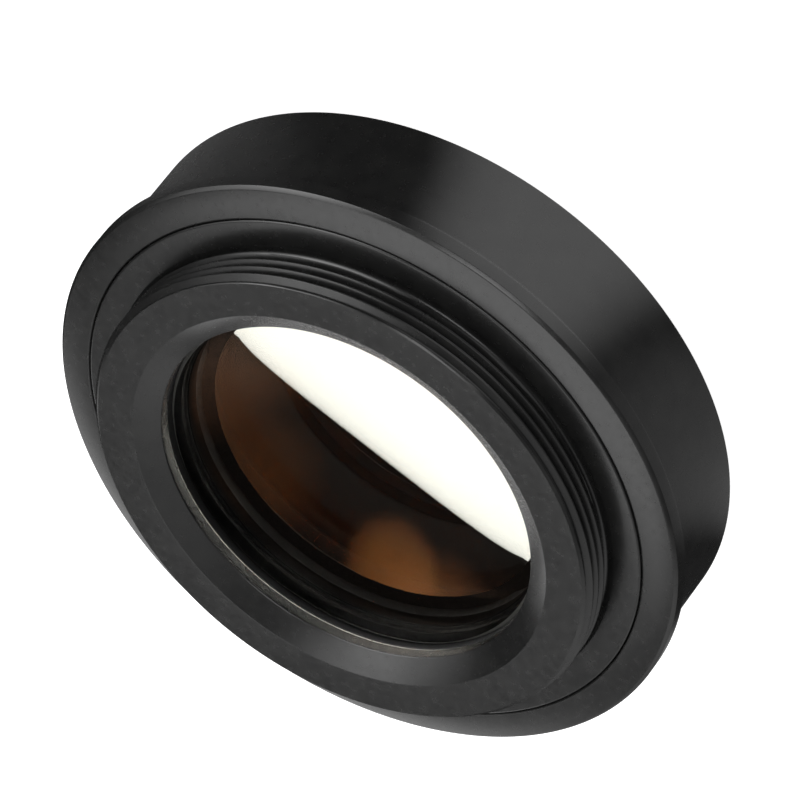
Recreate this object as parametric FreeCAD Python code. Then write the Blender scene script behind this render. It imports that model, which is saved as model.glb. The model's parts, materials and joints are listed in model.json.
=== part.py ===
import FreeCAD, Part
import math
import os

# Screw-in fisheye converter lens, standing on its front rim.
# Millimetres. Z is the optical axis and points to the rear, towards the mount thread.
# The origin is the centre of the front rim's plane, so the part rests on z = 0.
# Every ring and glass is turned about Z, so each is a closed section swept once round.
# The thread sets the radii: all others are counted from it by widths and clearances.
# Heights are counted from the front rim up through the stack of glasses, which sets the length behind it.

# Rear mount thread, M37 x 0.75
thread_major_r = 18.5
thread_pitch = 0.75
thread_turns = 3
thread_depth_in_pitches = 0.6134

# Mount ring, from the thread outwards
shoulder_width = 2.10
shoulder_thickness = 1.90
seat_width_lost = 0.15
relief_depth = 0.15
neck_depth = 0.65
neck_height = 0.62
neck_fillet = 0.42

# Mount ring, from the thread inwards
face_width = 2.61
cone_width = 1.65
cone_depth = 0.98
rear_bore_wall = 0.79
edge_break = 0.10

# Housing, outside
flange_width = 2.41
flange_rise = 0.36
lip_overhang = 0.81
lip_width = 1.26
lip_cove = 0.72
lip_chamfer = 0.22
barrel_length = 7.45
rim_chamfer = 0.18

# Housing, inside
rim_wall = 1.20
cell_step = 1.40
front_seat_z = 5.40

# Rear cell and what it holds
cell_lip_setback = 0.02
cell_seat_width = 0.92
cell_wall = 1.25
cell_front_gap = 0.30
cell_ring_recess = 0.05
cell_shim_thickness = 0.10
bevel_shown = 0.28
glass_bevel_drop = 1.224
crown_edge = 0.30
crown_rear_radius = 540.0
cement_radius = 850.0
flint_front_radius = 360.0
flint_edge = 0.89
spacer_width = 1.20
spacer_thickness = 0.47
baffle_width = 1.38
baffle_thickness = 0.10
middle_rear_radius = 44.0
middle_front_radius = 81.5
middle_land = 1.46
middle_thickness = 1.73
cell_ring_width = 1.38
cell_ring_thickness = 0.70

# Front element and what holds it
front_glass_apex_z = 0.25
front_glass_radius = 250.0
front_glass_bevel = 0.15
front_hollow_radius = 21.7
front_hollow_r = 12.51
front_rim_width = 2.69
front_rim_thickness = 2.20
gasket_thickness = 0.20
gasket_width = 3.19
o_ring_section_r = 0.45
front_ring_width = 3.81
front_ring_skirt = 2.00
front_ring_front_z = 0.80
front_ring_thickness = 1.80
front_bore_spare = 0.35
trim_ring_width = 4.01
trim_ring_thickness = 0.60
trim_ring_bevel = 0.30

# Mount screws, countersunk M1.4
screw_count = 4
screw_r = 0.70
screw_head_r = 1.25
screw_head_height = 0.62
screw_length = 4.00
screw_point = 0.35
screw_slot_width = 0.30
screw_slot_depth = 0.28
screw_hole_spare = 0.15

# Spanner slots in the retaining rings
slot_width = 1.20
slot_depth = 0.40
slot_overrun = 1.00

# Clearances
thread_clear = 0.04
glass_clear = 0.06
shim_clear = 0.05
seam_clear = 0.05
web_clear = 0.10
screw_clear = 0.05
seal_clear = 0.01

AXIS = FreeCAD.Vector(0, 0, 1)
ORIGIN = FreeCAD.Vector(0, 0, 0)


def sag(radius, r):
    """Depth of a spherical surface of this radius at the distance r from its axis."""
    return radius - math.sqrt(radius * radius - r * r)


# Radii of the mount ring and housing
thread_depth = thread_depth_in_pitches * thread_pitch
shoulder_r = thread_major_r + shoulder_width
seat_inner_r = thread_major_r + seat_width_lost
neck_r = thread_major_r - neck_depth
face_outer_r = thread_major_r - thread_depth
face_inner_r = face_outer_r - face_width
rear_bore_r = face_inner_r - cone_width
flange_inner_r = shoulder_r + seam_clear
lip_r = flange_inner_r + flange_width
barrel_r = lip_r - lip_overhang
front_bore_r = barrel_r - rim_wall
front_cell_r = front_bore_r - cell_step
front_ring_r = front_bore_r - thread_clear

# Radii of the rear cell and its glasses
cell_lip_r = rear_bore_r + cell_lip_setback
cell_bore_r = cell_lip_r + cell_seat_width
cell_outer_r = cell_bore_r + cell_wall
cell_thread_r = cell_outer_r + thread_clear
cell_ring_r = cell_bore_r - thread_clear
cell_ring_inner_r = cell_ring_r - cell_ring_width
glass_r = cell_bore_r - glass_clear
glass_bevel_r = cell_lip_r - bevel_shown
middle_hollow_r = glass_r - middle_land
web_r = cell_outer_r + web_clear
screw_circle_r = (web_r + front_cell_r) / 2

# Rear cell and its glasses, from the front glass up to the bevel that seats in the cell
front_land_z = front_seat_z - gasket_thickness
cell_low_z = front_land_z + cell_front_gap
cell_ring_low_z = cell_low_z + cell_ring_recess
middle_contact_z = cell_ring_low_z + cell_ring_thickness
middle_front_apex_z = middle_contact_z - sag(middle_front_radius, cell_ring_inner_r)
middle_edge_z = middle_front_apex_z + sag(middle_front_radius, glass_r)
middle_top_z = middle_contact_z + middle_thickness
middle_rear_apex_z = middle_top_z - sag(middle_rear_radius, middle_hollow_r)
spacer_low_z = middle_top_z + baffle_thickness
spacer_top_z = spacer_low_z + spacer_thickness
flint_apex_z = spacer_top_z - sag(flint_front_radius, cell_ring_r - spacer_width)
flint_edge_z = flint_apex_z + sag(flint_front_radius, glass_r)
cement_edge_z = flint_edge_z + flint_edge
cement_apex_z = cement_edge_z - sag(cement_radius, glass_r)
crown_bevel_z = cement_edge_z + crown_edge
bevel_sum = crown_bevel_z + glass_r
glass_edge_z = bevel_sum - glass_bevel_r
crown_apex_z = glass_edge_z + sag(crown_rear_radius, glass_bevel_r)

# Mount ring, from its bore round the rear glass down to its seat on the housing's web
rear_bore_z = glass_edge_z + glass_bevel_drop
cell_stop_z = rear_bore_z - rear_bore_wall
cell_top_z = cell_stop_z - cell_shim_thickness
face_z = rear_bore_z + cone_depth
thread_end_z = face_z - thread_depth
thread_start_z = thread_end_z - thread_turns * thread_pitch
shoulder_z = thread_start_z - neck_height
relief_z = shoulder_z - relief_depth
mount_seat_z = shoulder_z - shoulder_thickness
web_thickness = mount_seat_z - front_seat_z

# Heights of the housing
lip_front_z = barrel_length + lip_cove
lip_rear_z = lip_front_z + lip_width
flange_inner_z = lip_rear_z + flange_rise
skirt_end_z = front_ring_front_z + front_ring_thickness
front_bore_depth = skirt_end_z + front_bore_spare

# Front glass with its thinner rim, and the seal that presses on that rim
front_glass_r = front_cell_r - glass_clear
front_dome_r = front_glass_r - front_rim_width
front_bevel_r = front_dome_r - front_glass_bevel
front_rim_z = front_land_z - front_rim_thickness
front_hollow_apex_z = front_land_z - sag(front_hollow_radius, front_hollow_r)
front_bevel_z = front_glass_apex_z + sag(front_glass_radius, front_bevel_r)
skirt_r = front_ring_r - front_ring_skirt
o_ring_r = (front_dome_r + skirt_r) / 2
o_ring_z = front_rim_z - o_ring_section_r - seal_clear
seal_face_z = o_ring_z - o_ring_section_r - seal_clear


def at(r, z):
    """Point of a section: radius r from the axis, height z."""
    return FreeCAD.Vector(r, 0, z)


def line(a, b):
    return Part.LineSegment(a, b).toShape()


def path(points):
    """Straight edges through the points, one after the other."""
    return [line(a, b) for a, b in zip(points, points[1:])]


def bulge(radius, apex_z, r_to, side):
    """Arc of a spherical surface from its apex out to r_to; the edge is above (+1) or below (-1) the apex."""
    corners = [at(r, apex_z + side * sag(radius, r)) for r in (0, r_to / 2, r_to)]
    return Part.Arc(*corners).toShape()


def turned(edges):
    """Solid swept once round Z from a closed section."""
    face = Part.Face(Part.Wire(Part.__sortEdges__(edges)))
    solid = face.revolve(ORIGIN, AXIS, 360)
    if solid.Volume < 0:
        solid.reverse()
    return solid


def turned_outline(points):
    """Solid swept from a section with straight sides only."""
    corners = [at(r, z) for r, z in points]
    return turned(path(corners + corners[:1]))


def ring(outer_r, width, low_z, high_z):
    """Plain ring of rectangular section, as wide as told, counted from its outer radius."""
    inner_r = outer_r - width
    return turned_outline([(inner_r, low_z), (outer_r, low_z), (outer_r, high_z), (inner_r, high_z)])


def screw_angles():
    return [360.0 / screw_count * (i + 0.5) for i in range(screw_count)]


def on_screw_circle(shape, angle):
    """The shape, made on the Z axis, moved out to the screw circle at this angle."""
    placed = shape.copy()
    placed.translate(FreeCAD.Vector(screw_circle_r, 0, 0))
    placed.rotate(ORIGIN, AXIS, angle)
    return placed


def spanner_slot(ring_r, front_z):
    """Bar that cuts one slot across a retaining ring, open towards the front."""
    reach = ring_r + slot_overrun
    corner = FreeCAD.Vector(-reach, -slot_width / 2, front_z)
    return Part.makeBox(2 * reach, slot_width, slot_depth, corner)


def housing():
    """Outer shell: plain barrel, cove, lip and sloping rear flange, bored from both ends."""
    shell = turned_outline([
        (front_bore_r + rim_chamfer, 0),
        (barrel_r - rim_chamfer, 0),
        (barrel_r, rim_chamfer),
        (barrel_r, barrel_length),
        (lip_r, lip_front_z),
        (lip_r, lip_rear_z - lip_chamfer),
        (lip_r - lip_chamfer, lip_rear_z),
        (flange_inner_r + edge_break, flange_inner_z),
        (flange_inner_r, flange_inner_z - edge_break),
        (flange_inner_r, mount_seat_z),
        (web_r, mount_seat_z),
        (web_r, front_seat_z),
        (front_cell_r, front_seat_z),
        (front_cell_r, front_bore_depth),
        (front_bore_r, front_bore_depth),
        (front_bore_r, rim_chamfer),
    ])
    for angle in screw_angles():
        shell = shell.cut(on_screw_circle(screw_clearance_hole(), angle))
    return shell


def screw_clearance_hole():
    """Hole in the web, wider than the shank by the clearance, with a countersink that fits the head."""
    hole_r = screw_r + screw_clear
    countersink = screw_head_height * (screw_head_r - hole_r) / (screw_head_r - screw_r)
    return turned_outline([
        (0, front_seat_z),
        (screw_head_r, front_seat_z),
        (hole_r, front_seat_z + countersink),
        (hole_r, mount_seat_z),
        (0, mount_seat_z),
    ])


def mount_ring():
    """Rear ring: shoulder, relief groove and neck, thread wall, flat face, cone and short bore.

    The groove is cut into the shoulder as well as the neck, so that the flat seat ends outside the thread.
    """
    fillet_low = at(neck_r + neck_fillet, relief_z)
    fillet_high = at(neck_r, relief_z + neck_fillet)
    swing = neck_fillet * (1 - math.sqrt(0.5))
    fillet_middle = at(neck_r + swing, relief_z + swing)
    shoulder = path([
        at(cell_thread_r, mount_seat_z),
        at(shoulder_r - edge_break, mount_seat_z),
        at(shoulder_r, mount_seat_z + edge_break),
        at(shoulder_r, shoulder_z - edge_break),
        at(shoulder_r - edge_break, shoulder_z),
        at(seat_inner_r, shoulder_z),
        fillet_low,
    ])
    neck = [Part.Arc(fillet_low, fillet_middle, fillet_high).toShape()]
    thread_and_bore = path([
        fillet_high,
        at(thread_major_r, thread_start_z),
        at(thread_major_r, thread_end_z),
        at(face_outer_r, face_z),
        at(face_inner_r, face_z),
        at(rear_bore_r, rear_bore_z),
        at(rear_bore_r, cell_stop_z),
        at(cell_thread_r, cell_stop_z),
        at(cell_thread_r, mount_seat_z),
    ])
    body = turned(shoulder + neck + thread_and_bore)
    for angle in screw_angles():
        body = body.cut(on_screw_circle(screw_tapped_hole(), angle))
    return body


def screw_tapped_hole():
    """Blind hole in the mount ring's underside."""
    depth = screw_length - web_thickness + screw_hole_spare
    return Part.makeCylinder(screw_r, depth, at(0, mount_seat_z), AXIS)


def mount_screw(angle):
    """Countersunk screw, head in the web's front side, tip in the mount ring."""
    low = front_seat_z
    tip_z = low + screw_length
    body = turned_outline([
        (0, low),
        (screw_head_r, low),
        (screw_r, low + screw_head_height),
        (screw_r, tip_z - screw_point),
        (screw_r - screw_point, tip_z),
        (0, tip_z),
    ])
    corner = FreeCAD.Vector(-screw_head_r, -screw_slot_width / 2, low)
    slot = Part.makeBox(2 * screw_head_r, screw_slot_width, screw_slot_depth, corner)
    return on_screw_circle(body.cut(slot), angle)


def rear_cell():
    """Sleeve screwed into the mount ring; its sloping seat holds the bevel of the rear glass."""
    return turned_outline([
        (cell_outer_r, cell_low_z),
        (cell_outer_r, cell_top_z),
        (cell_lip_r, cell_top_z),
        (cell_lip_r, bevel_sum - cell_lip_r),
        (cell_bore_r, bevel_sum - cell_bore_r),
        (cell_bore_r, cell_low_z),
    ])


def cell_shim():
    """Thin washer that sets how deep the rear cell goes."""
    outer_r = cell_outer_r - shim_clear
    return ring(outer_r, outer_r - cell_lip_r - shim_clear, cell_top_z, cell_stop_z)


def rear_crown_element():
    """Rear half of the cemented pair: slightly convex both sides, bevelled where it meets the cell's seat."""
    return turned([
        line(at(0, cement_apex_z), at(0, crown_apex_z)),
        bulge(crown_rear_radius, crown_apex_z, glass_bevel_r, -1),
        line(at(glass_bevel_r, glass_edge_z), at(glass_r, crown_bevel_z)),
        line(at(glass_r, crown_bevel_z), at(glass_r, cement_edge_z)),
        bulge(cement_radius, cement_apex_z, glass_r, 1),
    ])


def rear_flint_element():
    """Front half of the cemented pair."""
    return turned([
        line(at(0, flint_apex_z), at(0, cement_apex_z)),
        bulge(cement_radius, cement_apex_z, glass_r, 1),
        line(at(glass_r, cement_edge_z), at(glass_r, flint_edge_z)),
        bulge(flint_front_radius, flint_apex_z, glass_r, 1),
    ])


def rear_spacer_ring():
    """Ring between the cemented pair and the baffle."""
    return ring(cell_ring_r, spacer_width, spacer_low_z, spacer_top_z)


def light_baffle():
    """Thin blackened stop that keeps stray light off the rear glass."""
    return ring(cell_ring_r, baffle_width, middle_top_z, spacer_low_z)


def middle_element():
    """Negative meniscus, hollow towards the rear, with a flat land under the baffle."""
    return turned([
        line(at(0, middle_front_apex_z), at(0, middle_rear_apex_z)),
        bulge(middle_rear_radius, middle_rear_apex_z, middle_hollow_r, 1),
        line(at(middle_hollow_r, middle_top_z), at(glass_r, middle_top_z)),
        line(at(glass_r, middle_top_z), at(glass_r, middle_edge_z)),
        bulge(middle_front_radius, middle_front_apex_z, glass_r, 1),
    ])


def rear_retaining_ring():
    """Threaded ring that clamps the stack in the rear cell, slotted for a spanner."""
    body = ring(cell_ring_r, cell_ring_width, cell_ring_low_z, middle_contact_z)
    return body.cut(spanner_slot(cell_ring_r, cell_ring_low_z))


def front_element():
    """Negative meniscus: gently domed front, deep hollow behind, and a thinner rim round the dome."""
    rim = path([
        at(front_hollow_r, front_land_z),
        at(front_glass_r, front_land_z),
        at(front_glass_r, front_rim_z),
        at(front_dome_r, front_rim_z),
        at(front_dome_r, front_bevel_z + front_glass_bevel),
        at(front_bevel_r, front_bevel_z),
    ])
    return turned(rim + [
        line(at(0, front_glass_apex_z), at(0, front_hollow_apex_z)),
        bulge(front_hollow_radius, front_hollow_apex_z, front_hollow_r, 1),
        bulge(front_glass_radius, front_glass_apex_z, front_bevel_r, 1),
    ])


def seat_gasket():
    """Flat gasket between the front glass and the web."""
    return ring(front_glass_r, gasket_width, front_land_z, front_seat_z)


def front_o_ring():
    """Round rubber ring between the front glass's rim and its retaining ring."""
    return Part.makeTorus(o_ring_r, o_ring_section_r, at(0, o_ring_z), AXIS)


def front_retaining_ring():
    """Ring screwed into the front bore; inside its threaded skirt it presses the round seal on the glass."""
    inner_r = front_ring_r - front_ring_width
    body = turned_outline([
        (inner_r, front_ring_front_z),
        (front_ring_r, front_ring_front_z),
        (front_ring_r, skirt_end_z),
        (skirt_r, skirt_end_z),
        (skirt_r, seal_face_z),
        (inner_r, seal_face_z),
    ])
    return body.cut(spanner_slot(front_ring_r, front_ring_front_z))


def front_trim_ring():
    """Dished cover ring in front of the retaining ring."""
    inner_r = front_ring_r - trim_ring_width
    low = front_ring_front_z - trim_ring_thickness
    return turned_outline([
        (inner_r + trim_ring_bevel, low),
        (front_ring_r, low),
        (front_ring_r, front_ring_front_z),
        (inner_r, front_ring_front_z),
    ])


def build():
    nodes = {
        "housing": housing(),
        "mount_ring": mount_ring(),
        "rear_cell": rear_cell(),
        "cell_shim": cell_shim(),
        "rear_crown_element": rear_crown_element(),
        "rear_flint_element": rear_flint_element(),
        "rear_spacer_ring": rear_spacer_ring(),
        "light_baffle": light_baffle(),
        "middle_element": middle_element(),
        "rear_retaining_ring": rear_retaining_ring(),
        "front_element": front_element(),
        "seat_gasket": seat_gasket(),
        "front_o_ring": front_o_ring(),
        "front_retaining_ring": front_retaining_ring(),
        "front_trim_ring": front_trim_ring(),
    }
    for number, angle in enumerate(screw_angles(), 1):
        nodes["mount_screw_%d" % number] = mount_screw(angle)
    return nodes


os.makedirs("parts", exist_ok=True)
nodes = build()
for name, shape in nodes.items():
    shape.exportStep("parts/%s.step" % name)
    box = shape.BoundBox
    print("%-22s valid %s  solids %d  volume %9.3f  z %6.3f to %6.3f  r %6.3f"
          % (name, shape.isValid(), len(shape.Solids), shape.Volume, box.ZMin, box.ZMax, box.XMax))
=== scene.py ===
import bmesh
import bpy
import json
import math
from mathutils import Matrix, Vector

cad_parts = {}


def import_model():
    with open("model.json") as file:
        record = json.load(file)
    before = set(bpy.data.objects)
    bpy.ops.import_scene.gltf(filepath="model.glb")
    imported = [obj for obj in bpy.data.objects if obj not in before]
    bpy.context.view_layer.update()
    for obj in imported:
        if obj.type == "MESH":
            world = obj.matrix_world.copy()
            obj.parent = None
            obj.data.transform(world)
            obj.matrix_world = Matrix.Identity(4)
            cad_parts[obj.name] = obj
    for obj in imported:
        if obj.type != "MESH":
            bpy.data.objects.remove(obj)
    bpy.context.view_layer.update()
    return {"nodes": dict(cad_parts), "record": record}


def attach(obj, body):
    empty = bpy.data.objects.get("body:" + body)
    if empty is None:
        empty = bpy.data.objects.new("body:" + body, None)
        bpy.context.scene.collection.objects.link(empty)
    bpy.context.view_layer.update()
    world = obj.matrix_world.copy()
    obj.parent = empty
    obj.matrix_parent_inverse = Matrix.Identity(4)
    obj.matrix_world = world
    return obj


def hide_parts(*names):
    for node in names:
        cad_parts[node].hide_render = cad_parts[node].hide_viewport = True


# Screw-in fisheye converter lens, standing on its front rim with its rear thread up.
# Driving sizes are in millimetres, as on the real part; MM turns them into metres.

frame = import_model()
MM = 0.001

# Rear mount thread
thread_major_r = 18.5
thread_pitch = 0.75
thread_turns = 3
thread_depth_in_pitches = 0.6134
thread_crest_in_pitches = 0.125
thread_root_in_pitches = 0.25

# Mount ring
shoulder_width = 2.10
shoulder_thickness = 1.90
seat_width_lost = 0.15
relief_depth = 0.15
neck_depth = 0.65
neck_height = 0.62
neck_fillet = 0.42
face_width = 2.61
cone_width = 1.65
cone_depth = 0.98
rear_bore_wall = 0.79

# Housing
flange_width = 2.41
flange_rise = 0.36
lip_overhang = 0.81
lip_width = 1.26
lip_cove = 0.72
lip_chamfer = 0.22
barrel_length = 7.45
rim_chamfer = 0.18
rim_wall = 1.20
cell_step = 1.40
front_seat_z = 5.40
front_bore_depth = 2.95

# Rear cell and its glasses
cell_lip_setback = 0.02
cell_seat_width = 0.92
cell_wall = 1.25
cell_front_gap = 0.30
cell_ring_recess = 0.05
cell_shim_thickness = 0.10
bevel_shown = 0.28
glass_bevel_drop = 1.224
crown_edge = 0.30
crown_rear_radius = 540.0
cement_radius = 850.0
flint_front_radius = 360.0
flint_edge = 0.89
spacer_width = 1.20
spacer_thickness = 0.47
baffle_width = 1.38
baffle_thickness = 0.10
middle_rear_radius = 44.0
middle_front_radius = 81.5
middle_land = 1.46
middle_thickness = 1.73
cell_ring_width = 1.38
cell_ring_thickness = 0.70

# Front element and its cover ring
front_glass_apex_z = 0.25
front_glass_radius = 250.0
front_glass_bevel = 0.15
front_hollow_radius = 21.7
front_hollow_r = 12.51
front_rim_width = 2.69
front_rim_thickness = 2.20
gasket_thickness = 0.20
front_ring_front_z = 0.80
trim_ring_width = 4.01
trim_ring_thickness = 0.60
trim_ring_bevel = 0.30

# Clearances
thread_clear = 0.04
glass_clear = 0.06
seam_clear = 0.05
web_clear = 0.10
cement_gap = 0.004

# How finely turned pieces are made, and the small radii that the tools leave on their edges
turned_steps = 384
bend_steps = 4
lens_rings = 28
thread_rows_per_pitch = 24
edge_break = 0.15
fine_break = 0.06
ring_break_share = 0.125
sharp_angle = 32
weld_distance = 0.0001

# Refractive index of each glass
crown_index = 1.649
flint_index = 1.746
middle_index = 1.677
front_index = 1.9195


def sag(radius, r):
    """Depth of a spherical surface of this radius at the distance r from its axis."""
    return radius - math.sqrt(radius * radius - r * r)


# Radii that follow
thread_depth = thread_depth_in_pitches * thread_pitch
shoulder_r = thread_major_r + shoulder_width
seat_inner_r = thread_major_r + seat_width_lost
neck_r = thread_major_r - neck_depth
face_outer_r = thread_major_r - thread_depth
face_inner_r = face_outer_r - face_width
rear_bore_r = face_inner_r - cone_width
flange_inner_r = shoulder_r + seam_clear
lip_r = flange_inner_r + flange_width
barrel_r = lip_r - lip_overhang
front_bore_r = barrel_r - rim_wall
front_cell_r = front_bore_r - cell_step
front_ring_r = front_bore_r - thread_clear
cell_lip_r = rear_bore_r + cell_lip_setback
cell_bore_r = cell_lip_r + cell_seat_width
cell_outer_r = cell_bore_r + cell_wall
cell_thread_r = cell_outer_r + thread_clear
cell_ring_r = cell_bore_r - thread_clear
glass_r = cell_bore_r - glass_clear
glass_bevel_r = cell_lip_r - bevel_shown
middle_hollow_r = glass_r - middle_land
web_r = cell_outer_r + web_clear
front_glass_r = front_cell_r - glass_clear
front_dome_r = front_glass_r - front_rim_width
front_bevel_r = front_dome_r - front_glass_bevel

# Heights that follow, from the front glass up
front_land_z = front_seat_z - gasket_thickness
front_rim_z = front_land_z - front_rim_thickness
front_hollow_apex_z = front_land_z - sag(front_hollow_radius, front_hollow_r)
front_bevel_z = front_glass_apex_z + sag(front_glass_radius, front_bevel_r)
cell_low_z = front_land_z + cell_front_gap
middle_contact_z = cell_low_z + cell_ring_recess + cell_ring_thickness
middle_front_apex_z = middle_contact_z - sag(middle_front_radius, cell_ring_r - cell_ring_width)
middle_top_z = middle_contact_z + middle_thickness
middle_rear_apex_z = middle_top_z - sag(middle_rear_radius, middle_hollow_r)
spacer_low_z = middle_top_z + baffle_thickness
spacer_top_z = spacer_low_z + spacer_thickness
flint_apex_z = spacer_top_z - sag(flint_front_radius, cell_ring_r - spacer_width)
flint_edge_z = flint_apex_z + sag(flint_front_radius, glass_r)
cement_edge_z = flint_edge_z + flint_edge
cement_apex_z = cement_edge_z - sag(cement_radius, glass_r)
crown_bevel_z = cement_edge_z + crown_edge
bevel_sum = crown_bevel_z + glass_r
glass_edge_z = bevel_sum - glass_bevel_r
crown_apex_z = glass_edge_z + sag(crown_rear_radius, glass_bevel_r)
rear_bore_z = glass_edge_z + glass_bevel_drop
cell_stop_z = rear_bore_z - rear_bore_wall
cell_top_z = cell_stop_z - cell_shim_thickness
face_z = rear_bore_z + cone_depth
thread_end_z = face_z - thread_depth
thread_start_z = thread_end_z - thread_turns * thread_pitch
shoulder_z = thread_start_z - neck_height
relief_z = shoulder_z - relief_depth
mount_seat_z = shoulder_z - shoulder_thickness
lip_front_z = barrel_length + lip_cove
lip_rear_z = lip_front_z + lip_width
flange_inner_z = lip_rear_z + flange_rise

# The photo's camera: a long lens, rolled
camera_distance = 0.5361
camera_azimuth = -0.13
camera_elevation = 39.1
camera_roll = -142.1
camera_focal_length = 363
camera_sensor = 36
camera_aim = Vector((0.92, 1.45, 1.79)) * MM


def direction(azimuth, elevation):
    """Unit vector from the part towards this azimuth (0 is -Y, 90 is +X) and elevation."""
    a, e = math.radians(azimuth), math.radians(elevation)
    return Vector((math.sin(a) * math.cos(e), -math.cos(a) * math.cos(e), math.sin(e)))


# Meshes

def mesh_piece(name, vertices, faces, numbers):
    """Smooth shaded piece with sharp edges kept, riding on the part's one body.

    Points that fall together are joined, and each face has the number of its material.
    """
    mesh = bpy.data.meshes.new(name)
    mesh.from_pydata([Vector(v) * MM for v in vertices], [], faces)
    mesh.polygons.foreach_set("material_index", numbers)
    work = bmesh.new()
    work.from_mesh(mesh)
    bmesh.ops.remove_doubles(work, verts=work.verts, dist=weld_distance * MM)
    bmesh.ops.recalc_face_normals(work, faces=work.faces)
    work.to_mesh(mesh)
    work.free()
    mesh.shade_smooth()
    mesh.set_sharp_from_angle(angle=math.radians(sharp_angle))
    piece = bpy.data.objects.new(name, mesh)
    bpy.context.scene.collection.objects.link(piece)
    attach(piece, "root")
    return piece


def softened(corners):
    """Points of a closed section from corners (r, z, bend): each corner gets an arc of radius bend."""
    points = []
    for i, (r, z, bend) in enumerate(corners):
        here = Vector((r, z))
        if not bend:
            points.append(here)
            continue
        before = (Vector(corners[i - 1][:2]) - here).normalized()
        after = (Vector(corners[(i + 1) % len(corners)][:2]) - here).normalized()
        half = before.angle(after) / 2
        centre = here + (before + after).normalized() * (bend / math.sin(half))
        start = here + before * (bend / math.tan(half)) - centre
        end = here + after * (bend / math.tan(half)) - centre
        for k in range(bend_steps + 1):
            points.append(centre + start.lerp(end, k / bend_steps).normalized() * bend)
    return points


def turned_piece(name, runs):
    """Closed section swept once round Z. Each run of points (r, z) comes with its material number."""
    points = [(r, z, number) for number, run in runs for r, z in run]
    count = len(points)
    vertices = []
    for k in range(turned_steps):
        a = 2 * math.pi * k / turned_steps
        vertices += [(r * math.cos(a), r * math.sin(a), z) for r, z, number in points]
    faces, numbers = [], []
    for k in range(turned_steps):
        here, there = k * count, (k + 1) % turned_steps * count
        for i in range(count):
            j = (i + 1) % count
            if points[i][0] or points[j][0]:
                faces.append((here + i, there + i, there + j, here + j))
                numbers.append(points[i][2])
    return mesh_piece(name, vertices, faces, numbers)


def turned_ring(name, corners, node):
    """Finely turned ring in place of a node, from corners (r, z, bend)."""
    piece = turned_piece(name, [(0, softened(corners))])
    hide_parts(node)
    return piece


def housing():
    """Outer shell: plain barrel, cove, lip and sloping rear flange."""
    return turned_ring("housing_shell", [
        (front_bore_r + rim_chamfer, 0, fine_break),
        (front_bore_r, rim_chamfer, fine_break),
        (front_bore_r, front_bore_depth, 0),
        (front_cell_r, front_bore_depth, fine_break),
        (front_cell_r, front_seat_z, 0),
        (web_r, front_seat_z, fine_break),
        (web_r, mount_seat_z, fine_break),
        (flange_inner_r, mount_seat_z, 0),
        (flange_inner_r, flange_inner_z, edge_break),
        (lip_r - lip_chamfer, lip_rear_z, edge_break),
        (lip_r, lip_rear_z - lip_chamfer, fine_break),
        (lip_r, lip_front_z, edge_break),
        (barrel_r, barrel_length, edge_break),
        (barrel_r, rim_chamfer, fine_break),
        (barrel_r - rim_chamfer, 0, fine_break),
    ], "housing")


def front_trim_ring():
    inner_r = front_ring_r - trim_ring_width
    low_z = front_ring_front_z - trim_ring_thickness
    return turned_ring("front_cover_ring", [
        (inner_r + trim_ring_bevel, low_z, fine_break),
        (front_ring_r, low_z, fine_break),
        (front_ring_r, front_ring_front_z, 0),
        (inner_r, front_ring_front_z, fine_break),
    ], "front_trim_ring")


def rear_cell():
    return turned_ring("rear_glass_cell", [
        (cell_outer_r, cell_low_z, fine_break),
        (cell_outer_r, cell_top_z, fine_break),
        (cell_lip_r, cell_top_z, fine_break),
        (cell_lip_r, bevel_sum - cell_lip_r, 0),
        (cell_bore_r, bevel_sum - cell_bore_r, 0),
        (cell_bore_r, cell_low_z, fine_break),
    ], "rear_cell")


def plain_ring(name, node, width, low_z, high_z):
    """Thin ring in the rear cell's bore."""
    bend = (high_z - low_z) * ring_break_share
    return turned_ring(name, [
        (cell_ring_r - width, low_z, bend),
        (cell_ring_r, low_z, bend),
        (cell_ring_r, high_z, bend),
        (cell_ring_r - width, high_z, bend),
    ], node)


# Glasses, whose runs of points are polished, blackened at the edge or finely ground at the bevel

polished, inked, ground = 0, 1, 2


def surface(radius, apex_z, side, r_from, r_to):
    """Points along a spherical surface; its edge is above (+1) or below (-1) its apex."""
    rs = [r_from + (r_to - r_from) * k / lens_rings for k in range(lens_rings + 1)]
    return [(r, apex_z + side * sag(radius, r)) for r in rs]


def lens(name, node, runs):
    """Glass in place of a node, from its runs of points, rear surface first."""
    piece = turned_piece(name, runs)
    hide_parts(node)
    return piece


def crown_glass():
    """Rear half of the cemented pair, kept a hair off the front half so that both surfaces render."""
    return lens("rear_crown_glass", "rear_crown_element", [
        (polished, surface(crown_rear_radius, crown_apex_z, -1, 0, glass_bevel_r)[:-1]),
        (ground, [(glass_bevel_r, glass_edge_z)]),
        (inked, [(glass_r, crown_bevel_z)]),
        (polished, surface(cement_radius, cement_apex_z + cement_gap, 1, glass_r, 0)),
    ])


def flint_glass():
    """Front half of the cemented pair."""
    return lens("rear_flint_glass", "rear_flint_element", [
        (polished, surface(cement_radius, cement_apex_z, 1, 0, glass_r)[:-1]),
        (inked, [(glass_r, cement_edge_z)]),
        (polished, surface(flint_front_radius, flint_apex_z, 1, glass_r, 0)),
    ])


def middle_glass():
    """Meniscus, hollow towards the rear."""
    return lens("middle_glass", "middle_element", [
        (polished, surface(middle_rear_radius, middle_rear_apex_z, 1, 0, middle_hollow_r)[:-1]),
        (inked, [(middle_hollow_r, middle_top_z), (glass_r, middle_top_z)]),
        (polished, surface(middle_front_radius, middle_front_apex_z, 1, glass_r, 0)),
    ])


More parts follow.
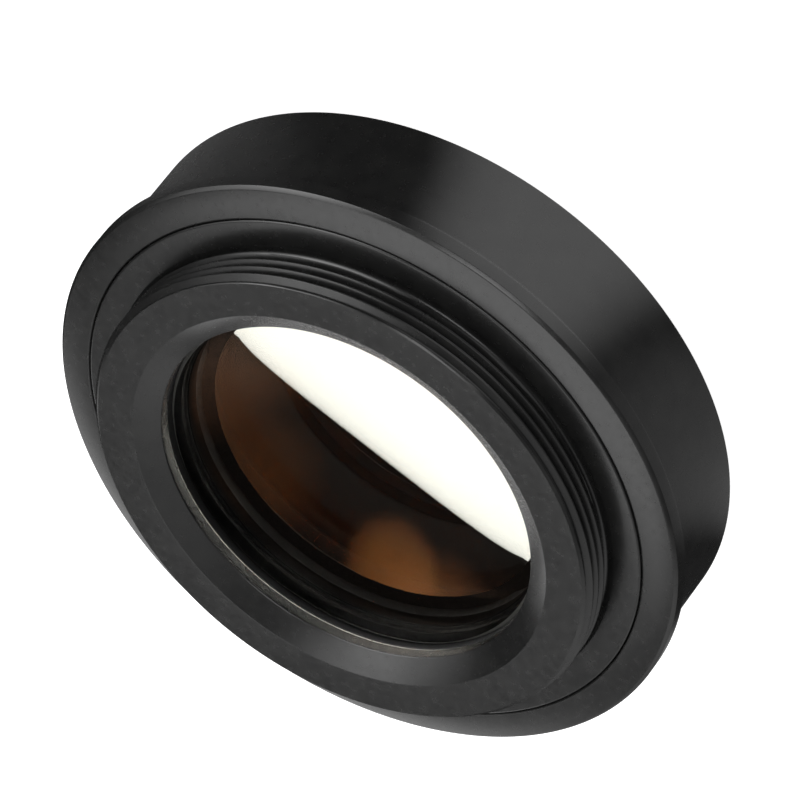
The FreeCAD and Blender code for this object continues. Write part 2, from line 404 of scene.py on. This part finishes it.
def front_glass():
    """Negative meniscus, gently domed to the front, with a thinner rim."""
    return lens("front_glass", "front_element", [
        (polished, surface(front_hollow_radius, front_hollow_apex_z, 1, 0, front_hollow_r)[:-1]),
        (inked, [(front_hollow_r, front_land_z), (front_glass_r, front_land_z)]),
        (inked, [(front_glass_r, front_rim_z), (front_dome_r, front_rim_z)]),
        (ground, [(front_dome_r, front_bevel_z + front_glass_bevel)]),
        (polished, surface(front_glass_radius, front_glass_apex_z, 1, front_bevel_r, 0)),
    ])


# Mount ring with its helical thread

def thread_r(phase):
    """Radius of the 60 degree thread form at this phase of a pitch."""
    crest = thread_crest_in_pitches / 2
    root = 0.5 - thread_root_in_pitches / 2
    away = abs((phase + 0.5) % 1 - 0.5)
    depth = min(1, max(0, (away - crest) / (root - crest)))
    return thread_major_r - thread_depth * depth


def mount_ring():
    """Rear ring. The rows of the thread's mesh follow its helix, so that crests stay crisp."""
    low_z = relief_z + neck_fillet
    rows = math.ceil((face_z - low_z) / thread_pitch + 1) * thread_rows_per_pitch + 1
    run_in = (thread_major_r - neck_r) / (thread_start_z - low_z)
    cone = softened([
        (face_outer_r, face_z, 0),
        (face_inner_r, face_z, fine_break),
        (rear_bore_r, rear_bore_z, edge_break),
        (rear_bore_r, cell_stop_z, fine_break),
        (cell_thread_r, cell_stop_z, 0),
        (cell_thread_r, mount_seat_z, fine_break),
        (shoulder_r, mount_seat_z, edge_break),
        (shoulder_r, shoulder_z, edge_break),
        (seat_inner_r, shoulder_z, fine_break),
        (neck_r + neck_fillet, relief_z, 0),
    ])
    fillet = []
    fillet_steps = 2 * bend_steps
    for k in range(1, fillet_steps):
        a = math.pi / 2 * k / fillet_steps
        fillet.append((neck_r + neck_fillet * (1 - math.sin(a)), low_z - neck_fillet * math.cos(a)))
    points = [tuple(point) for point in cone[1:]] + fillet
    vertices = []
    per_column = rows + len(points)
    for k in range(turned_steps):
        turn = k / turned_steps
        c, s = math.cos(2 * math.pi * turn), math.sin(2 * math.pi * turn)
        for j in range(rows):
            z = low_z + thread_pitch * (j / thread_rows_per_pitch - 1 + turn)
            z = min(face_z, max(low_z, z))
            r = thread_r((z - thread_end_z) / thread_pitch - turn)
            r = min(r, neck_r + run_in * (z - low_z), face_outer_r + face_z - z)
            vertices.append((r * c, r * s, z))
        vertices += [(r * c, r * s, z) for r, z in points]
    faces = []
    for k in range(turned_steps):
        here, there = k * per_column, (k + 1) % turned_steps * per_column
        shift = thread_rows_per_pitch if k == turned_steps - 1 else 0
        for j in range(rows - 1):
            low, high = j + shift, j + 1 + shift
            if high < rows:
                faces.append((here + j, there + low, there + high, here + j + 1))
        for i in range(rows - 1, per_column - 1):
            faces.append((here + i, there + i, there + i + 1, here + i + 1))
        faces.append((here + per_column - 1, there + per_column - 1, there, here))
    piece = mesh_piece("mount_ring_threaded", vertices, faces, [0] * len(faces))
    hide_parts("mount_ring")
    return piece


# Materials. Noise mostly lies between these two values, which a range of colours is spread over.

noise_low = 0.3
noise_high = 0.7


class Nodes:
    """Small helper that adds and joins shader nodes in one material."""

    def __init__(self, name):
        self.material = bpy.data.materials.new(name)
        self.material.use_nodes = True
        self.tree = self.material.node_tree
        self.shader = self.tree.nodes["Principled BSDF"]
        self.place = self.add("ShaderNodeTexCoord").outputs["Object"]

    def add(self, kind, **values):
        node = self.tree.nodes.new(kind)
        for key, value in values.items():
            setattr(node, key, value)
        return node

    def join(self, source, target):
        self.tree.links.new(source, target)

    def noise(self, size, detail=2.0, place=None):
        """Noise whose grains are about this many millimetres across."""
        node = self.add("ShaderNodeTexNoise")
        node.inputs["Scale"].default_value = 1 / (size * MM)
        node.inputs["Detail"].default_value = detail
        self.join(place or self.place, node.inputs["Vector"])
        return node.outputs["Fac"]

    def turned_place(self):
        """Coordinates (distance from the axis, 0, height), so that a noise makes turned rings."""
        split = self.add("ShaderNodeSeparateXYZ")
        self.join(self.place, split.inputs[0])
        flat = self.add("ShaderNodeCombineXYZ")
        self.join(split.outputs["X"], flat.inputs["X"])
        self.join(split.outputs["Y"], flat.inputs["Y"])
        length = self.add("ShaderNodeVectorMath", operation="LENGTH")
        self.join(flat.outputs[0], length.inputs[0])
        ring = self.add("ShaderNodeCombineXYZ")
        self.join(length.outputs["Value"], ring.inputs["X"])
        self.join(split.outputs["Z"], ring.inputs["Z"])
        return ring.outputs[0]

    def spread(self, source, low, high, socket):
        """Spreads low to high on a socket over the source's usual range."""
        node = self.add("ShaderNodeMapRange")
        node.inputs["From Min"].default_value = noise_low
        node.inputs["From Max"].default_value = noise_high
        node.inputs["To Min"].default_value = low
        node.inputs["To Max"].default_value = high
        self.join(source, node.inputs["Value"])
        self.join(node.outputs["Result"], self.shader.inputs[socket])

    def colours(self, source, low, high):
        """Colour that runs from low to high over the source's usual range."""
        ramp = self.add("ShaderNodeValToRGB")
        ramp.color_ramp.elements[0].position = noise_low
        ramp.color_ramp.elements[0].color = (*low, 1)
        ramp.color_ramp.elements[1].position = noise_high
        ramp.color_ramp.elements[1].color = (*high, 1)
        self.join(source, ramp.inputs["Fac"])
        self.join(ramp.outputs["Color"], self.shader.inputs["Base Color"])

    def bump(self, *heights):
        """Bump from pairs of a height source and its depth in millimetres, one on the other."""
        below = None
        for source, depth in heights:
            node = self.add("ShaderNodeBump")
            node.inputs["Distance"].default_value = depth * MM
            self.join(source, node.inputs["Height"])
            if below:
                self.join(below, node.inputs["Normal"])
            below = node.outputs["Normal"]
        self.join(below, self.shader.inputs["Normal"])


def anodised(name, low, high, rough_low, rough_high, grain_depth, ring_depth):
    """Black anodised aluminium: fine etched grain over turned rings."""
    n = Nodes(name)
    n.colours(n.noise(1.6, 4), low, high)
    n.spread(n.noise(0.5, 3), rough_low, rough_high, "Roughness")
    rings = n.noise(0.09, 3, n.turned_place())
    n.bump((rings, ring_depth), (n.noise(0.11, 3), grain_depth))
    return n.material


def rubber():
    n = Nodes("black_rubber")
    n.colours(n.noise(0.8), (0.012, 0.012, 0.012), (0.02, 0.02, 0.02))
    n.spread(n.noise(0.3), 0.6, 0.8, "Roughness")
    n.bump((n.noise(0.15), 0.006))
    return n.material


def foil_steel():
    n = Nodes("shim_steel")
    n.colours(n.noise(0.2, 2, n.turned_place()), (0.42, 0.41, 0.39), (0.56, 0.55, 0.52))
    n.spread(n.noise(0.4), 0.25, 0.4, "Roughness")
    n.shader.inputs["Metallic"].default_value = 1
    n.bump((n.noise(0.1), 0.002))
    return n.material


def screw_steel():
    n = Nodes("screw_steel")
    n.colours(n.noise(0.3, 2, n.turned_place()), (0.05, 0.05, 0.052), (0.1, 0.1, 0.1))
    n.spread(n.noise(0.2), 0.3, 0.45, "Roughness")
    n.shader.inputs["Metallic"].default_value = 1
    n.bump((n.noise(0.08), 0.003))
    return n.material


# What each coating still mirrors, as a share of bare glass
dark_coat = (0.05, 0.045, 0.04)
amber_coat = (0.50, 0.19, 0.055)


def glass(name, index, coat):
    """Faintly warm coated glass. The coating mirrors a little of its colour and takes it from what passes."""
    n = Nodes(name)
    n.colours(n.noise(6.0), (0.995, 0.965, 0.925), (1.0, 0.975, 0.94))
    n.shader.inputs["Transmission Weight"].default_value = 1
    n.shader.inputs["Roughness"].default_value = 0
    n.shader.inputs["IOR"].default_value = index
    n.shader.inputs["Specular Tint"].default_value = (*coat, 1)
    return n.material


def edge_ink():
    """Matt black lacquer on the ground edges of a glass."""
    n = Nodes("edge_ink")
    n.colours(n.noise(0.5), (0.004, 0.004, 0.004), (0.008, 0.008, 0.008))
    n.spread(n.noise(0.2), 0.6, 0.8, "Roughness")
    n.shader.inputs["Specular IOR Level"].default_value = 0.2
    return n.material


def ground_bevel():
    """Finely ground bevel, left bare."""
    n = Nodes("ground_bevel")
    n.colours(n.noise(0.3), (0.10, 0.10, 0.09), (0.16, 0.16, 0.15))
    n.spread(n.noise(0.1), 0.25, 0.4, "Roughness")
    n.bump((n.noise(0.05), 0.003))
    return n.material


# Studio

def camera():
    data = bpy.data.cameras.new("camera")
    data.sensor_width = camera_sensor
    data.lens = camera_focal_length
    back = direction(camera_azimuth, camera_elevation)
    right = Vector((0, 0, 1)).cross(back).normalized()
    turn = Matrix((right, back.cross(right), back)).transposed().to_4x4()
    roll = Matrix.Rotation(math.radians(camera_roll), 4, "Z")
    view = bpy.data.objects.new("camera", data)
    view.matrix_world = Matrix.Translation(camera_aim + back * camera_distance) @ turn @ roll
    bpy.context.scene.collection.objects.link(view)
    bpy.context.scene.camera = view


# Soft boxes that mirrors and glass see: azimuth, elevation, bright angle, faded angle, strength
sky_level = 0.02
sky_boxes = [
    (62, 12, 10, 36, 5.0),
    (90, 36, 6, 34, 2.0),
    (95, 64, 2, 19, 2.4),
    (180, 6, 4, 28, 2.4),
    (232, 25, 6, 34, 0.8),
    (275, 58, 6, 30, 0.6),
    (340, 12, 6, 30, 0.9),
]
# White stretches of the floor round the barrel that mirrors see, with the same columns
floor_level = 0.03
floor_boxes = [
    (0, 0, 4, 28, 1.4),
    (240, 0, 4, 28, 0.4),
    (310, 0, 4, 28, 0.3),
    (75, 0, 4, 28, 0.1),
]
# The floor's half width in metres, its plain colour, and its glow as seen directly and through glass
floor_half = 2.0
floor_white = 0.8
floor_glow = 0.82
through_glow = 1.75
# Even light on matt surfaces
world_fill = 0.6


def math_node(tree, operation, *values):
    """Math node whose inputs are sockets or plain numbers."""
    node = tree.nodes.new("ShaderNodeMath")
    node.operation = operation
    for socket, value in zip(node.inputs, values):
        if hasattr(value, "node"):
            tree.links.new(value, socket)
        else:
            socket.default_value = value
    return node.outputs[0]


def soft_patches(tree, place, level, boxes):
    """Brightness in the direction of a place: an even level and soft round patches."""
    total = level
    for azimuth, elevation, bright, faded, strength in boxes:
        towards = tree.nodes.new("ShaderNodeVectorMath")
        towards.operation = "DOT_PRODUCT"
        towards.inputs[1].default_value = direction(azimuth, elevation)
        tree.links.new(place, towards.inputs[0])
        fade = tree.nodes.new("ShaderNodeMapRange")
        fade.interpolation_type = "SMOOTHSTEP"
        fade.inputs["From Min"].default_value = math.cos(math.radians(faded))
        fade.inputs["From Max"].default_value = math.cos(math.radians(bright))
        fade.inputs["To Max"].default_value = strength
        tree.links.new(towards.outputs["Value"], fade.inputs["Value"])
        total = math_node(tree, "ADD", total, fade.outputs["Result"])
    return total


def unit_place(tree, kind, flat):
    """Direction of the shaded place from the part's centre, level with the floor where flat."""
    place = tree.nodes.new("ShaderNodeTexCoord").outputs[kind]
    if flat:
        level = tree.nodes.new("ShaderNodeVectorMath")
        level.operation = "MULTIPLY"
        level.inputs[1].default_value = (1, 1, 0)
        tree.links.new(place, level.inputs[0])
        place = level.outputs[0]
    unit = tree.nodes.new("ShaderNodeVectorMath")
    unit.operation = "NORMALIZE"
    tree.links.new(place, unit.inputs[0])
    return unit.outputs[0]


def floor():
    """White floor: it glows for what is seen and mirrored, and its plain part keeps the shadow."""
    mesh = bpy.data.meshes.new("floor")
    corners = [(x * floor_half, y * floor_half, 0) for x, y in ((-1, -1), (1, -1), (1, 1), (-1, 1))]
    mesh.from_pydata(corners, [], [(0, 1, 2, 3)])
    plane = bpy.data.objects.new("floor", mesh)
    bpy.context.scene.collection.objects.link(plane)
    n = Nodes("floor")
    n.shader.inputs["Base Color"].default_value = (floor_white, floor_white, floor_white, 1)
    n.shader.inputs["Roughness"].default_value = 1
    n.shader.inputs["Specular IOR Level"].default_value = 0
    path = n.add("ShaderNodeLightPath").outputs
    glow = n.add("ShaderNodeEmission")
    n.join(math_node(n.tree, "MULTIPLY", path["Is Camera Ray"], floor_glow), glow.inputs["Strength"])
    lit = n.add("ShaderNodeAddShader")
    n.join(n.shader.outputs[0], lit.inputs[0])
    n.join(glow.outputs[0], lit.inputs[1])
    patches = soft_patches(n.tree, unit_place(n.tree, "Object", True), floor_level, floor_boxes)
    through = math_node(n.tree, "MULTIPLY", path["Is Transmission Ray"], through_glow)
    mirror = n.add("ShaderNodeEmission")
    n.join(math_node(n.tree, "MAXIMUM", patches, through), mirror.inputs["Strength"])
    mirrored = math_node(n.tree, "MAXIMUM", path["Is Glossy Ray"], path["Is Transmission Ray"])
    pick = n.add("ShaderNodeMixShader")
    n.join(mirrored, pick.inputs["Fac"])
    n.join(lit.outputs[0], pick.inputs[1])
    n.join(mirror.outputs[0], pick.inputs[2])
    n.join(pick.outputs[0], n.tree.nodes["Material Output"].inputs["Surface"])
    mesh.materials.append(n.material)


def world():
    """White for the camera, soft boxes in a dim room for mirrors and glass, and a fill for matt light."""
    sky = bpy.data.worlds.new("studio")
    bpy.context.scene.world = sky
    sky.use_nodes = True
    tree = sky.node_tree
    back = tree.nodes["Background"]
    back.inputs["Color"].default_value = (1, 1, 1, 1)
    path = tree.nodes.new("ShaderNodeLightPath").outputs
    patches = soft_patches(tree, unit_place(tree, "Generated", False), sky_level, sky_boxes)
    mirrored = math_node(tree, "MAXIMUM", path["Is Glossy Ray"], path["Is Transmission Ray"])
    seen = math_node(tree, "MAXIMUM", path["Is Camera Ray"], math_node(tree, "MULTIPLY", mirrored, patches))
    fill = math_node(tree, "MULTIPLY", path["Is Diffuse Ray"], world_fill)
    tree.links.new(math_node(tree, "MAXIMUM", seen, fill), back.inputs["Strength"])


def lamp(name, azimuth, elevation, distance, size, power):
    """Soft square lamp aimed at the part, with its distance and size in metres and its power in watts."""
    data = bpy.data.lights.new(name, "AREA")
    data.shape = "SQUARE"
    data.size = size
    data.energy = power
    place = direction(azimuth, elevation)
    light = bpy.data.objects.new(name, data)
    light.location = place * distance
    light.rotation_euler = place.to_track_quat("Z", "Y").to_euler()
    bpy.context.scene.collection.objects.link(light)
    return light


def dress():
    """Gives every piece its material and makes the finely turned ones."""
    satin = anodised("black_anodised", (0.009, 0.009, 0.009), (0.014, 0.014, 0.0135),
                     0.23, 0.28, 0.002, 0.0007)
    matt = anodised("inner_black", (0.004, 0.004, 0.004), (0.007, 0.007, 0.007),
                    0.5, 0.65, 0.004, 0.002)
    finishes = {
        "black_anodised": satin,
        "inner_black": matt,
        "coated_glass": glass("coated_glass", crown_index, dark_coat),
        "black_rubber": rubber(),
        "shim_steel": foil_steel(),
        "screw_steel": screw_steel(),
    }
    for entry in frame["record"]["subparts"]:
        node = frame["nodes"][entry["node"]]
        node.data.materials.clear()
        node.data.materials.append(finishes[entry["material_slot"]])
    for piece in (housing(), mount_ring(), front_trim_ring()):
        piece.data.materials.append(satin)
    spacer = plain_ring("rear_spacer", "rear_spacer_ring", spacer_width, spacer_low_z, spacer_top_z)
    baffle = plain_ring("light_stop", "light_baffle", baffle_width, middle_top_z, spacer_low_z)
    for piece in (rear_cell(), spacer, baffle):
        piece.data.materials.append(matt)
    ink, bevel = edge_ink(), ground_bevel()
    glasses = (
        (crown_glass(), crown_index, dark_coat),
        (flint_glass(), flint_index, dark_coat),
        (middle_glass(), middle_index, amber_coat),
        (front_glass(), front_index, amber_coat),
    )
    for piece, index, coat in glasses:
        for material in (glass(piece.name, index, coat), ink, bevel):
            piece.data.materials.append(material)


camera()
floor()
world()
lamp("key", 8, 55, 0.6, 0.25, 0.8)
top = lamp("top", 180, 62, 0.6, 0.35, 0.9)
top.visible_transmission = False
dress()
bpy.context.scene.view_settings.view_transform = "Standard"
